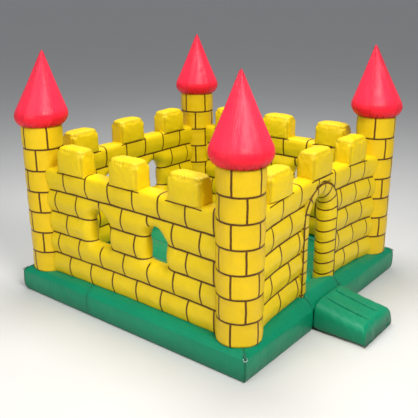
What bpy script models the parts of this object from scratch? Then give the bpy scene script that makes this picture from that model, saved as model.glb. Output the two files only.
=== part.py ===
"""Inflatable castle bounce house: a brick-pattern castle on a square inflated base.

Every inflated chamber is a thin skin around its air space. Chambers pass air to each other through
holes in the skins where they meet, so no air space is sealed. Metres, +Z up, ground at z = 0, centre
of the base at the origin, doorway and entrance ramp towards -Y.
"""

import math

import bpy
from mathutils import Vector

GAP = 0.0003  # clearance between sewn pieces
SKIN = 0.003  # coated fabric with its seam tapes, drawn thicker than the 0.55 mm cloth

# Base
BASE_HALF = 2.52
BASE_HEIGHT = 0.46
BORDER_WIDTH = 0.56
INNER_HALF = BASE_HALF - BORDER_WIDTH
EDGE_SLOPE = ((0.385, 0.012), (0.448, 0.075))  # the 45 degree stretch of the rounded top edge
BORDER_ROUNDING = ((0.0, 0.02), (0.06, 0.0), (0.34, 0.0), *EDGE_SLOPE, (0.46, 0.13))
FLOOR_CHANNELS = 6
FLOOR_GROOVE = 0.045
FLOOR_THICKNESS = 0.45
BAFFLE_THICKNESS = 0.003

# Doorway and ramp
DOOR_X = -0.10
SILL_HALF = 0.49
SILL_HEIGHT = 0.455
ARCH_OUTER = 0.545
ARCH_CLEAR = 0.295
ARCH_SPRING_Z = 1.815
RAMP_LENGTH = 0.91
RAMP_STATIONS = ((0.0, 0.44), (0.35, 0.385), (0.68, 0.325), (0.82, 0.29), (0.89, 0.21), (0.91, 0.10))
RAMP_CHANNELS = 3
RAMP_GROOVE = 0.035

# Towers and roofs
TOWER_AXIS = 2.12
TOWER_RADIUS = 0.35
TOWER_PINCH = 0.022
TOWER_COURSES = 7
COURSE_HEIGHT = 0.376
TOWER_SIDES = 12
PASSAGE_RADIUS = 0.15
ROOF_LEAN = 0.08
ROOF_PROFILE = (
    (0.345, 0.0),
    (0.405, 0.045),
    (0.443, 0.105),
    (0.457, 0.17),
    (0.443, 0.245),
    (0.235, 0.72),
    (0.025, 1.225),
    (0.008, 1.252),
)

# Walls and merlons
WALL_PLANE = 2.17
WALL_HALF_SEAM = 0.09
WALL_BULGE = 0.085
WALL_ROWS = 5
ROW_HEIGHT = 0.39
WALL_TOP_HALF = 0.12
WALL_BASE_Z = BASE_HEIGHT + GAP
WALL_TOP_Z = WALL_BASE_Z + WALL_ROWS * ROW_HEIGHT
TOWER_CLEARANCE = 0.006
WINDOW_CENTRE = 0.62
WINDOW_HALF = 0.205
WINDOW_SILL_Z = WALL_BASE_Z + 2 * ROW_HEIGHT
WINDOW_SPRING_Z = WALL_BASE_Z + 3 * ROW_HEIGHT
MERLON_SPACING = 1.23
MERLON_HALF_LENGTH = 0.325
MERLON_HALF_DEPTH = 0.165
MERLON_CHAMFER = 0.05
MERLON_PROFILE = ((0.0, 0.93), (0.09, 1.0), (0.27, 1.0), (0.35, 0.95), (0.40, 0.76))

# Fittings
TAB_WIDTH = 0.038
TAB_LENGTH = 0.075
TAB_THICKNESS = 0.0022
EDGE_START = 0.02  # from the foot of the edge's slope up to the ring's bar
RING_WIRE = 0.004
RING_HALF_WIDTH = 0.030
RING_BAR_OFFSET = 0.0125
RING_DROP = 0.018
SLEEVE_X = 1.20
SLEEVE_RADIUS = 0.17
SLEEVE_LENGTH = 0.80
SLEEVE_ROOT_Z = 0.22
STRAP_WIDTH = 0.04
STRAP_FROM_MOUTH = 0.08
ZIP_X = -1.20
ZIP_HALF = 0.30
ZIP_Z = 0.19
ZIP_TAPE = (0.004, 0.05)

# Air holes: their radii, and the places of those that the side chambers share
TOWER_HOLE = 0.06
WALL_HOLE = 0.05
MERLON_HOLE = 0.03
BASE_HOLE = 0.08
BLOWER_HOLE = 0.14
HOLE_SPREAD = 1.20
HOLE_Z = 0.23
RAMP_HOLE_Z = 0.20
THROUGH_ONE = 0.02  # half the length of a cutter that crosses one seam
THROUGH_TWO = 0.03

OUTWARD = {
    "left": Vector((-1, 0)),
    "right": Vector((1, 0)),
    "front": Vector((0, -1)),
    "back": Vector((0, 1)),
}
CORNERS = (
    ("front_left", -1, -1),
    ("front_right", 1, -1),
    ("back_left", -1, 1),
    ("back_right", 1, 1),
)


def clear_scene():
    for obj in list(bpy.data.objects):
        bpy.data.objects.remove(obj, do_unlink=True)


def material(name, colour, roughness, metallic=0.0):
    made = bpy.data.materials.new(name)
    made.use_nodes = True
    shader = made.node_tree.nodes["Principled BSDF"]
    shader.inputs["Base Color"].default_value = (*colour, 1.0)
    shader.inputs["Roughness"].default_value = roughness
    shader.inputs["Metallic"].default_value = metallic
    return made


def mesh_object(name, points, faces, look=None, sharp_angle=30.0):
    """One mesh object from points and faces, with its faces turned to face out."""
    mesh = bpy.data.meshes.new(name)
    mesh.from_pydata([tuple(p) for p in points], [], faces)
    mesh.validate()
    obj = bpy.data.objects.new(name, mesh)
    bpy.context.scene.collection.objects.link(obj)
    bpy.context.view_layer.objects.active = obj
    obj.select_set(True)
    bpy.ops.object.mode_set(mode="EDIT")
    bpy.ops.mesh.select_all(action="SELECT")
    bpy.ops.mesh.normals_make_consistent(inside=False)
    bpy.ops.object.mode_set(mode="OBJECT")
    obj.select_set(False)
    mesh.shade_smooth()
    mesh.set_sharp_from_angle(angle=math.radians(sharp_angle))
    if look:
        mesh.materials.append(look)
    return obj


def loft(name, rings, look=None, close_first=False, close_last=False, ends_meet=False):
    """Quads between rings of equal point counts; an open end is left as a hole in the skin."""
    count = len(rings[0])
    points = [p for ring in rings for p in ring]
    faces = []
    spans = len(rings) if ends_meet else len(rings) - 1
    for i in range(spans):
        a = i * count
        b = ((i + 1) % len(rings)) * count
        for k in range(count):
            n = (k + 1) % count
            faces.append((a + k, a + n, b + n, b + k))
    if close_first:
        faces.append(tuple(range(count)))
    if close_last:
        faces.append(tuple(range(len(points) - count, len(points))))
    return mesh_object(name, points, faces, look)


def circle(radius, z, centre=(0.0, 0.0), sides=TOWER_SIDES):
    turns = [2 * math.pi * (k + 0.5) / sides for k in range(sides)]
    flat = [(radius * math.cos(turn), radius * math.sin(turn)) for turn in turns]
    return [Vector((centre[0] + x, centre[1] + y, z)) for x, y in flat]


def prism(name, outline, depth, axes, look=None):
    """A flat outline pushed along the third axis: axes maps (u, v, w) onto world directions."""
    u, v, w, origin = axes
    near = [origin + u * a + v * b + w * depth[0] for a, b in outline]
    far = [origin + u * a + v * b + w * depth[1] for a, b in outline]
    return loft(name, [near, far], look, close_first=True, close_last=True)


def add_skin(obj):
    """Turns a closed or open surface into a fabric skin that lies inside it."""
    skin = obj.modifiers.new("skin", "SOLIDIFY")
    skin.thickness = SKIN
    skin.offset = -1.0
    skin.use_even_offset = True
    return obj


def cut(obj, cutter):
    boolean = obj.modifiers.new("cut_" + cutter.name, "BOOLEAN")
    boolean.operation = "DIFFERENCE"
    boolean.solver = "EXACT"
    boolean.object = cutter
    cutter.hide_render = True
    cutter.display_type = "WIRE"


def passage(name, centre, axis, radius, half_length, pieces):
    """A round air hole through every skin that it crosses in the given pieces."""
    mesh_axis = {"X": Vector((1, 0, 0)), "Y": Vector((0, 1, 0)), "Z": Vector((0, 0, 1))}[axis]
    turn = mesh_axis.to_track_quat("Z", "Y").to_matrix()
    rings = [
        [Vector(centre) + turn @ p for p in circle(radius, side * half_length, sides=10)]
        for side in (-1, 1)
    ]
    cutter = loft("cutter_" + name, rings, close_first=True, close_last=True)
    for piece in pieces:
        cut(piece, cutter)


# ---------------------------------------------------------------- base


def border(name, side, start, end, look, height=BASE_HEIGHT):
    """One border chamber, a tube with a rounded outer top edge. An end of None is mitred at the corner."""
    world = placer(side)
    rings = []
    for z, inset in BORDER_ROUNDING:
        plan = []
        for reach in (BASE_HALF - inset, INNER_HALF + GAP):
            first = -(reach - GAP) if start is None else start + GAP
            last = reach - GAP if end is None else end - GAP
            plan.append((first, last, reach - WALL_PLANE))
        (a, b, outer), (c, d, inner) = plan
        corners = ((a, outer), (b, outer), (d, inner), (c, inner))
        rings.append([world(along, across, z * height / BASE_HEIGHT) for along, across in corners])
    return add_skin(loft(name, rings, look, close_first=True, close_last=True))


def build_base(green):
    left_end, right_end = DOOR_X - SILL_HALF, DOOR_X + SILL_HALF
    return {
        "left": border("base_left", "left", None, None, green),
        "right": border("base_right", "right", None, None, green),
        "back": border("base_back", "back", None, None, green),
        "front_left": border("base_front_left", "front", None, left_end, green),
        "front_right": border("base_front_right", "front", right_end, None, green),
        "sill": border("door_sill", "front", left_end, right_end, green, SILL_HEIGHT),
    }


def channelled_top(half_width, crest, groove, channels):
    """Top line of a chamber held down by webs: a row of equal lobes from one side to the other."""
    pitch = 2 * half_width / channels
    points = []
    for i in range(channels):
        start = -half_width + i * pitch
        points += [(start, crest - groove), (start + pitch * 0.25, crest - groove * 0.2)]
        points += [(start + pitch * 0.75, crest - groove * 0.2)]
    points.append((half_width, crest - groove))
    return points


def build_floor(green):
    reach = INNER_HALF - GAP
    outline = [(-reach, 0.0)] + channelled_top(reach, FLOOR_THICKNESS, FLOOR_GROOVE, FLOOR_CHANNELS)
    outline += [(reach, 0.0)]
    rings = [[Vector((x, y, z)) for x, z in outline] for y in (-reach, reach)]
    return add_skin(loft("bounce_floor", rings, green, close_first=True, close_last=True))


def build_floor_baffles(cloth):
    """The webs that hold the floor down along each groove; air passes round their ends."""
    pitch = 2 * (INNER_HALF - GAP) / FLOOR_CHANNELS
    low = SKIN + GAP
    high = FLOOR_THICKNESS - FLOOR_GROOVE - SKIN - 2 * GAP
    for i in range(1, FLOOR_CHANNELS):
        x = -INNER_HALF + GAP + i * pitch
        half = BAFFLE_THICKNESS / 2
        ring = [(x - half, low), (x + half, low), (x + half, high), (x - half, high)]
        rings = [[Vector((a, y, b)) for a, b in ring] for y in (-INNER_HALF + 0.15, INNER_HALF - 0.15)]
        loft(f"floor_baffle_{i}", rings, cloth, close_first=True, close_last=True)


def build_ramp(green):
    half = SILL_HALF + 0.015
    rings = []
    for run, height in RAMP_STATIONS:
        narrow = 0.0 if run < 0.85 * RAMP_LENGTH else (run / RAMP_LENGTH - 0.85) * 0.25
        reach = half - narrow
        lift = 0.0 if run < RAMP_LENGTH else 0.02
        fade = 1.0 if run < 0.7 else max(0.0, (RAMP_LENGTH - run) / 0.25)
        top = channelled_top(reach - 0.04, height, RAMP_GROOVE * fade, RAMP_CHANNELS)
        outline = [(-reach + 0.02, lift), (-reach, height * 0.45)] + top + [(reach, height * 0.45)]
        outline += [(reach - 0.02, lift)]
        y = -BASE_HALF - GAP - run
        rings.append([Vector((DOOR_X + x, y, z)) for x, z in outline])
    middle = Vector((DOOR_X, rings[0][0].y, RAMP_HOLE_Z))
    rings.insert(0, [middle + (p - middle) * 0.5 for p in rings[0]])
    return add_skin(loft("entrance_ramp", rings, green, close_last=True))


# ---------------------------------------------------------------- towers and roofs


def build_tower(name, sx, sy, yellow):
    centre = (sx * TOWER_AXIS, sy * TOWER_AXIS)
    foot = BASE_HEIGHT + GAP
    pinched = TOWER_RADIUS - TOWER_PINCH
    rings = [circle(PASSAGE_RADIUS, foot, centre)]
    for course in range(TOWER_COURSES):
        z = foot + course * COURSE_HEIGHT
        rings.append(circle(pinched, z, centre))
        rings.append(circle(TOWER_RADIUS, z + COURSE_HEIGHT / 2, centre))
    top = foot + TOWER_COURSES * COURSE_HEIGHT
    rings.append(circle(pinched, top, centre))
    rings.append(circle(PASSAGE_RADIUS, top, centre))
    return add_skin(loft(name, rings, yellow))


def build_roof(name, sx, sy, red):
    foot = BASE_HEIGHT + 2 * GAP + TOWER_COURSES * COURSE_HEIGHT
    height = ROOF_PROFILE[-1][1]
    axis = Vector((sx, sy)) * TOWER_AXIS
    rings = [circle(PASSAGE_RADIUS, foot, axis)]
    for radius, rise in ROOF_PROFILE:
        lean = ROOF_LEAN * rise / height
        rings.append(circle(radius, foot + rise, axis - Vector((sx, sy)) * lean))
    return add_skin(loft(name, rings, red, close_last=True))


# ---------------------------------------------------------------- walls


def half_thickness(z):
    """Half the wall's thickness at a height: pinched at each row's seam, fullest half-way up a row."""
    share = (z - WALL_BASE_Z) / ROW_HEIGHT
    if share > WALL_ROWS - 0.5:
        crown = (share - WALL_ROWS + 0.5) / 0.5
        full = WALL_HALF_SEAM + WALL_BULGE
        return full - (full - WALL_TOP_HALF) * crown**3
    return WALL_HALF_SEAM + WALL_BULGE * abs(math.sin(math.pi * share))


def tower_reach(across):
    """Distance along a wall to the face of the tower, at an offset from the wall's middle."""
    from_axis = WALL_PLANE - TOWER_AXIS + across
    clear = TOWER_RADIUS + TOWER_CLEARANCE
    return TOWER_AXIS - math.sqrt(clear**2 - from_axis**2)


def wall_levels():
    levels = {WALL_BASE_Z + i * ROW_HEIGHT / 2 for i in range(2 * WALL_ROWS + 1)}
    return sorted(levels | {WALL_TOP_Z - 0.07})


def wall_ring(z, place):
    """Plan outline of a wall at one height, hollowed at both ends to fit round the towers."""
    half = half_thickness(z)
    across = [-half, -half / 2, 0.0, half / 2, half]
    line = [(tower_reach(u), u) for u in across] + [(-tower_reach(u), u) for u in reversed(across)]
    return [place(along, u, z) for along, u in line]


def plain_wall(side, yellow):
    rings = [wall_ring(z, placer(side)) for z in wall_levels()]
    return loft(f"wall_{side}", rings, yellow, close_first=True, close_last=True)


def arched_cutter(name, centre, half, foot_z, spring_z, place, steps=8):
    """A round-topped tunnel through a wall."""
    turns = [math.pi * i / steps for i in range(steps + 1)]
    arc = [(centre + half * math.cos(turn), spring_z + half * math.sin(turn)) for turn in turns]
    outline = [(centre + half, foot_z), *arc, (centre - half, foot_z)]
    rings = [[place(along, side * 0.3, z) for along, z in outline] for side in (-1, 1)]
    return loft("cutter_" + name, rings, close_first=True, close_last=True)


def placer(side):
    """Maps (along, across, z) into world space; across is positive towards the outside."""
    out = OUTWARD[side]
    run = Vector((abs(out.y), abs(out.x)))

    def place(along, across, z):
        flat = run * along + out * (WALL_PLANE + across)
        return Vector((flat.x, flat.y, z))

    return place


def build_windowed_wall(side, yellow):
    wall = plain_wall(side, yellow)
    place = placer(side)
    for label, centre in (("a", -WINDOW_CENTRE), ("b", WINDOW_CENTRE)):
        name = f"window_{side}_{label}"
        cut(wall, arched_cutter(name, centre, WINDOW_HALF, WINDOW_SILL_Z, WINDOW_SPRING_Z, place))
    return add_skin(wall)


def build_front_wall(yellow):
    """The front wall, with an arched cut that the padded lining of the doorway fills."""
    wall = plain_wall("front", yellow)
    half, place = ARCH_OUTER + GAP, placer("front")
    cut(wall, arched_cutter("doorway", DOOR_X, half, 0.0, ARCH_SPRING_Z, place, steps=10))
    return add_skin(wall)


def build_door_arch(yellow):
    """The padded lining of the doorway: one tube up a side, over the top and down again."""
    half = WALL_HALF_SEAM + WALL_BULGE
    deep = ARCH_OUTER - ARCH_CLEAR
    steps = 8
    section = [
        (ARCH_OUTER - deep * math.sin(math.pi * i / steps) ** 0.7, half * math.cos(math.pi * i / steps))
        for i in range(steps + 1)
    ]
    section[0] = (ARCH_OUTER, half - 0.004)
    section[-1] = (ARCH_OUTER, -half + 0.004)
    foot = BASE_HEIGHT + GAP
    stations = [(0.0, foot - ARCH_SPRING_Z)]
    arc_steps = 10
    stations += [(math.pi * i / arc_steps, 0.0) for i in range(arc_steps + 1)]
    stations += [(math.pi, foot - ARCH_SPRING_Z)]
    rings = []
    for angle, drop in stations:
        ring = []
        for radius, across in section:
            x = DOOR_X + radius * math.cos(angle)
            z = ARCH_SPRING_Z + drop + radius * math.sin(angle)
            ring.append(Vector((x, -WALL_PLANE - across, z)))
        rings.append(ring)
    return add_skin(loft("door_arch", rings, yellow))


def merlon_ring(scale, z, place, centre):
    a, b, c = MERLON_HALF_LENGTH * scale, MERLON_HALF_DEPTH * scale, MERLON_CHAMFER * scale
    outline = [(a, c - b), (a, b - c), (a - c, b), (c - a, b)]
    outline += [(-u, -v) for u, v in outline]
    return [place(centre + u, v, z) for u, v in outline]


def build_merlon(name, side, centre, yellow):
    place = placer(side)
    foot = WALL_TOP_Z + GAP
    rings = [merlon_ring(0.22, foot, place, centre)]
    rings += [merlon_ring(scale, foot + rise, place, centre) for rise, scale in MERLON_PROFILE]
    return add_skin(loft(name, rings, yellow, close_last=True))


# ---------------------------------------------------------------- fittings


def tab_outline():
    """Side view of a webbing strip folded in two round the bar of its ring, as a ribbon outline."""
    bar = Vector((RING_BAR_OFFSET, 0.0))
    around = RING_WIRE + 0.0012 + TAB_THICKNESS / 2
    near = TAB_THICKNESS / 2 + GAP
    far = near + TAB_THICKNESS + 0.0004
    line = [Vector((near, TAB_LENGTH)), Vector((near, 0.016))]
    line += [
        bar + around * Vector((math.cos(math.radians(a)), math.sin(math.radians(a))))
        for a in (155, 200, 245, 290, 335, 20, 65, 105)
    ]
    line += [Vector((far, 0.0185)), Vector((far, TAB_LENGTH))]
    left, right = [], []
    for i, p in enumerate(line):
        before, after = line[max(i - 1, 0)], line[min(i + 1, len(line) - 1)]
        along = (after - before).normalized()
        normal = Vector((-along.y, along.x)) * TAB_THICKNESS / 2
        left.append(p + normal)
        right.append(p - normal)
    return [tuple(p) for p in left + right[::-1]]


def build_anchor(label, foot, out, up, steel, webbing):
    """A webbing tab on the base's sloped top edge with a D-ring that lies down the slope from it.

    foot is the foot of the slope, out the slope's outward normal and up the way up the slope.
    """
    across = up.cross(out)
    origin = foot + up * EDGE_START
    half = TAB_WIDTH / 2
    prism(f"anchor_tab_{label}", tab_outline(), (-half, half), (out, up, across, origin), webbing)
    bar = RING_HALF_WIDTH - RING_WIRE
    path = [Vector((x, 0.0)) for x in (-bar, 0.0, bar)]
    steps = 8
    for i in range(steps + 1):
        angle = math.pi * i / steps
        bow = RING_HALF_WIDTH * 0.8 * math.sin(angle)
        path.append(Vector((RING_HALF_WIDTH * math.cos(angle), -RING_DROP - bow)))
    pivot = origin + out * RING_BAR_OFFSET
    sides = 6
    rings = []
    for i, p in enumerate(path):
        before, after = path[i - 1], path[(i + 1) % len(path)]
        along = (after - before).normalized()
        normal = Vector((-along.y, along.x))
        ring = []
        for k in range(sides):
            turn = 2 * math.pi * k / sides
            flat = p + normal * RING_WIRE * math.cos(turn)
            ring.append(across * flat.x + up * flat.y + out * RING_WIRE * math.sin(turn))
        rings.append(ring)
    ring_object = loft(f"anchor_ring_{label}", rings, steel, ends_meet=True)
    ring_object.location = pivot


def build_anchors(steel, webbing):
    """One at each mitred corner, on the seam's ridge, and one half-way along the right and back sides."""
    (foot_z, foot_inset), (head_z, head_inset) = EDGE_SLOPE
    run, rise = head_inset - foot_inset, head_z - foot_z
    reach = BASE_HALF - foot_inset
    for label, sx, sy in CORNERS:
        up = Vector((-sx * run, -sy * run, rise)).normalized()
        level = Vector((sy, -sx, 0)).normalized()
        out = up.cross(level)
        out = out if out.z > 0 else -out
        build_anchor(label, Vector((sx * reach, sy * reach, foot_z)), out, up, steel, webbing)
    for label, x, y in (("right", 1, 0), ("back", 0, 1)):
        up = Vector((-x * run, -y * run, rise)).normalized()
        out = Vector((x * rise, y * rise, run)).normalized()
        build_anchor(label, Vector((x * reach, y * reach, foot_z)), out, up, steel, webbing)


def build_sleeve(green, webbing):
    rings = []
    for i in range(5):
        run = SLEEVE_LENGTH * i / 4
        droop = (SLEEVE_ROOT_Z - SLEEVE_RADIUS - 0.001) * min(1.0, run / (SLEEVE_LENGTH / 2))
        rings.append(sleeve_ring(SLEEVE_RADIUS, run, SLEEVE_ROOT_Z - droop))
    add_skin(loft("blower_sleeve", rings, green))
    start = SLEEVE_LENGTH - STRAP_FROM_MOUTH - STRAP_WIDTH
    inner, outer = SLEEVE_RADIUS + 0.0006, SLEEVE_RADIUS + 0.0040
    strap = [(inner, start), (outer, start), (outer, start + STRAP_WIDTH), (inner, start + STRAP_WIDTH)]
    rings = [sleeve_ring(radius, run, SLEEVE_RADIUS + 0.001) for radius, run in strap]
    loft("sleeve_strap", rings, webbing, ends_meet=True)


def sleeve_ring(radius, run, z):
    y = BASE_HALF + GAP + run
    return [Vector((SLEEVE_X + p.x, y, z + p.y)) for p in circle(radius, 0.0)]


def build_zip(black, steel):
    thick, tall = ZIP_TAPE
    face = BASE_HALF + GAP
    x_axis, y_axis, z_axis = Vector((1, 0, 0)), Vector((0, 1, 0)), Vector((0, 0, 1))
    tape = [(0.0, -tall / 2), (thick, -tall / 2), (thick, tall / 2), (0.0, tall / 2)]
    origin = Vector((ZIP_X, face, ZIP_Z))
    prism("deflation_zip", tape, (-ZIP_HALF, ZIP_HALF), (y_axis, z_axis, x_axis, origin), black)
    start = thick + GAP
    body = [(start, -0.012), (start + 0.007, -0.045), (start + 0.010, -0.045), (start + 0.010, -0.012)]
    body += [(start + 0.010, 0.012), (start, 0.012)]
    slider = prism("zip_slider", body, (-0.008, 0.008), (y_axis, z_axis, x_axis, Vector((0, 0, 0))), steel)
    slider.location = Vector((ZIP_X - ZIP_HALF + 0.025, face, ZIP_Z))


# ---------------------------------------------------------------- assembly


def build_air_passages(base, floor, walls):
    """Holes that let air from the base into each chamber above and beside it."""
    for label, sx, sy in CORNERS:
        # Off the tower's axis, to stay clear of the mitred seam between two border chambers
        centre = (sx * (TOWER_AXIS + TOWER_HOLE), sy * (TOWER_AXIS - TOWER_HOLE), BASE_HEIGHT)
        border_piece = base["left" if sx < 0 else "right"]
        passage(f"tower_{label}", centre, "Z", TOWER_HOLE, THROUGH_ONE, [border_piece])
    for side, wall in walls.items():
        place = placer(side)
        for label, sign in (("left", -1), ("right", 1)):
            pieces = [base[f"front_{label}" if side == "front" else side], wall]
            centre = place(sign * HOLE_SPREAD, 0.0, BASE_HEIGHT)
            passage(f"foot_{side}_{label}", centre, "Z", WALL_HOLE, THROUGH_ONE, pieces)
        for i in (1, 2, 3):
            centre = place((i - 2) * MERLON_SPACING, 0.0, WALL_TOP_Z)
            passage(f"top_{side}_{i}", centre, "Z", MERLON_HOLE, THROUGH_ONE, [wall])

    def into_floor(name, x, y, axis, piece):
        passage(f"floor_{name}", (x, y, HOLE_Z), axis, BASE_HOLE, THROUGH_TWO, [floor, base[piece]])

    into_floor("left", -INNER_HALF, 0.0, "X", "left")
    into_floor("right", INNER_HALF, 0.0, "X", "right")
    into_floor("front_left", -HOLE_SPREAD, -INNER_HALF, "Y", "front_left")
    into_floor("front_right", HOLE_SPREAD, -INNER_HALF, "Y", "front_right")
    into_floor("sill", DOOR_X, -INNER_HALF, "Y", "sill")
    into_floor("back", 0.3, INNER_HALF, "Y", "back")
    mouth = (DOOR_X, -BASE_HALF, RAMP_HOLE_Z)
    passage("ramp", mouth, "Y", BASE_HOLE, THROUGH_ONE, [base["sill"]])
    inlet = (SLEEVE_X, BASE_HALF, SLEEVE_ROOT_Z)
    passage("blower", inlet, "Y", BLOWER_HOLE, THROUGH_ONE, [base["back"]])


def build():
    clear_scene()
    green = material("green_pvc_cloth", (0.010, 0.350, 0.160), 0.42)
    yellow = material("yellow_pvc_cloth", (0.800, 0.560, 0.015), 0.40)
    red = material("red_pvc_cloth", (0.850, 0.025, 0.060), 0.40)
    white = material("baffle_cloth", (0.700, 0.700, 0.680), 0.60)
    webbing = material("green_webbing", (0.020, 0.220, 0.120), 0.75)
    black = material("black_zip_tape", (0.015, 0.015, 0.016), 0.60)
    steel = material("zinc_steel", (0.550, 0.560, 0.570), 0.32, 1.0)

    base = build_base(green)
    floor = build_floor(green)
    build_floor_baffles(white)
    build_ramp(green)
    for label, sx, sy in CORNERS:
        build_tower(f"tower_{label}", sx, sy, yellow)
        build_roof(f"roof_{label}", sx, sy, red)
    walls = {side: build_windowed_wall(side, yellow) for side in ("left", "right", "back")}
    walls["front"] = build_front_wall(yellow)
    build_door_arch(yellow)
    for side in walls:
        for i, centre in enumerate((-MERLON_SPACING, 0.0, MERLON_SPACING), 1):
            build_merlon(f"merlon_{side}_{i}", side, centre, yellow)
    build_air_passages(base, floor, walls)
    build_anchors(steel, webbing)
    build_sleeve(green, webbing)
    build_zip(black, steel)


build()
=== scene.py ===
import math

import bmesh
import bpy
import numpy as np
from mathutils import Matrix, Vector


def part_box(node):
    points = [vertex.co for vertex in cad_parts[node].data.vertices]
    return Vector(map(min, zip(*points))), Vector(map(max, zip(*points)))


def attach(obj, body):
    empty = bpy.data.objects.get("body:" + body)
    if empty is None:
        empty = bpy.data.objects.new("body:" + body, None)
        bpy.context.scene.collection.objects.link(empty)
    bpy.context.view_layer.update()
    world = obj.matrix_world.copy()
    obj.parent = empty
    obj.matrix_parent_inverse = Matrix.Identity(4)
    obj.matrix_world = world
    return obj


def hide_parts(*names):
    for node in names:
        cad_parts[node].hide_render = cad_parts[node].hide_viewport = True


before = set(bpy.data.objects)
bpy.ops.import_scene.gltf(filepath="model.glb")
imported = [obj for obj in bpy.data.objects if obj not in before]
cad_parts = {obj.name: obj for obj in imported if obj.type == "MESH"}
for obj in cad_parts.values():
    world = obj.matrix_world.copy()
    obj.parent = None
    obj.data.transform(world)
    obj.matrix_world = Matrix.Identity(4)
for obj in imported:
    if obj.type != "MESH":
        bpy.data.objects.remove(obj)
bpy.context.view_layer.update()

# The castle's inflated chambers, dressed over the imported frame. Metres, +Z up, doorway towards -Y.

SIDES = ("left", "right", "back", "front")
OUTWARD = {"left": (-1, 0), "right": (1, 0), "front": (0, -1), "back": (0, 1)}
CORNERS = (("front_left", -1, -1), ("front_right", 1, -1), ("back_left", -1, 1), ("back_right", 1, 1))

# Sizes, read from the frame where a node gives them
BASE_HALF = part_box("base_right")[1].x
BASE_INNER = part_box("base_right")[0].x
BASE_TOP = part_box("base_right")[1].z
TOWER_AXIS = sum((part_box("tower_front_right")[0].x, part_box("tower_front_right")[1].x)) / 2
TOWER_RADIUS = 0.353
TOWER_PINCH = 0.012  # how far each seam draws a tower in
TOWER_COURSES = 7
TOWER_BRICKS = 5  # round each course
# Degrees round each tower to the lowest course's first upright line
TOWER_PHASE = {"front_left": 50.0, "back_left": 29.0, "front_right": 58.0, "back_right": 33.0}
# Roof outlines as radius and height: the belly, the seam's shoulder and the cone
ROOF_BELLY = ((0.340, 0.0), (0.395, 0.034), (0.438, 0.095), (0.456, 0.165), (0.447, 0.235))
ROOF_SHOULDER = (0.341, 0.4775)
ROOF_MIDDLE = (0.1325, 0.9675)
ROOF_SLOPE = ((0.235, 0.72), (0.030, 1.215), (0.012, 1.243), (0.001, 1.25))
ROOF_LEAN = 0.08  # how far the tip leans towards the castle's centre
ROOF_GORE_ARC = 0.45  # metres of cloth for each radian round the belly
ROOF_GATHERS = (37, 44, 53, 61, 71)
WALL_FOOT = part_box("wall_left")[0].z
WALL_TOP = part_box("wall_left")[1].z
WALL_PLANE = sum((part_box("wall_right")[0].x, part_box("wall_right")[1].x)) / 2
WALL_ROWS = 5
ROW_HEIGHT = (WALL_TOP - WALL_FOOT) / WALL_ROWS
WALL_HALF_SEAM = 0.112  # half thickness at a seam
WALL_HALF_FULL = 0.172  # half thickness at a row's fullest
WALL_REACH = 1.86  # half length before the ends are cut to the towers
CREST_ARC = 0.31  # cloth from the last row's middle to the crest
WALL_BRICK = 0.5345
BOW_HALF_SPAN = 1.9
BOW_RISE = {"front": 0.095, "left": 0.025, "right": 0.025, "back": 0.025}
FRONT_DRAWN_IN = 0.040
DOORWAY_LIP = 0.02
DOORWAY_FOOT = -5.0  # far below the wall, so that its hole is open downwards
WINDOW_CENTRE = 0.62
WINDOW_HALF = 0.205
WINDOW_SILL = WALL_FOOT + 2 * ROW_HEIGHT
WINDOW_SPRING = WALL_FOOT + 3 * ROW_HEIGHT
MERLON_SPACING = 1.23
MERLON_SINK = 0.07  # how deep a merlon sits in its wall
MERLON_CELL = 0.0135
MERLON_SHIFT = {"front": -0.11, "left": -0.02, "right": 0.0, "back": 0.0}
DOOR_X = sum((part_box("door_arch")[0].x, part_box("door_arch")[1].x)) / 2
ARCH_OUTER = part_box("door_arch")[1].x - DOOR_X
ARCH_CLEAR = 0.285
ARCH_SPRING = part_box("door_arch")[1].z - ARCH_OUTER
LINE_WIDTH = 0.033
SILL_HALF = (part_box("door_sill")[1].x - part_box("door_sill")[0].x) / 2
SILL_TOP = 0.455
PROFILE_HEIGHT = 0.46  # base height that the border tube's outline is drawn for
SWELL_INSET = 0.21  # where a border tube swells most, from its outer face
SWELL_WIDTH = 0.11
FRONT_SWELL_WIDTH = 0.30  # inwards, along the front
SWELL_HALF_SPAN = 1.95
SWELL = {"door_sill": 0.135, "base_front_left": 0.090, "base_front_right": 0.090}
OTHER_SWELL = 0.03
FLOOR_CHANNELS = 6
FLOOR_GROOVE = 0.055
RAMP_GROOVES = (-0.165, 0.175)
RAMP_GROOVE_DEPTH = 0.070
RAMP_GROOVE_WIDTH = 0.026
RAMP_FRONT = 0.90  # share of its length where the front starts to round off
RAMP_POWER = 0.42  # squareness of its sides
SLEEVE_RADIUS = 0.165
ZIP_HEIGHT = 0.19

# Linear colours
YELLOW = (0.81, 0.575, 0.005)
TOWER_YELLOW = (0.80, 0.53, 0.006)
BROWN = (0.070, 0.008, 0.002)
GREEN = (0.0005, 0.245, 0.118)
RED = (0.94, 0.026, 0.068)
# Painted shade for a roof's belly: darker red towards its foot and in the folds of its gathers
PAINTED_SHADE_RED = (0.84, 0.006, 0.018)

CAMERA_PLACE = (-9.032, -7.036, 5.430)
CAMERA_TURN = (0.6698, 0.3379, -0.0046)  # yaw, downward pitch and roll, in radians
CAMERA_LENS = 56.155
STAGE_HALF = 400.0


# ---------------------------------------------------------------- materials


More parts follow.
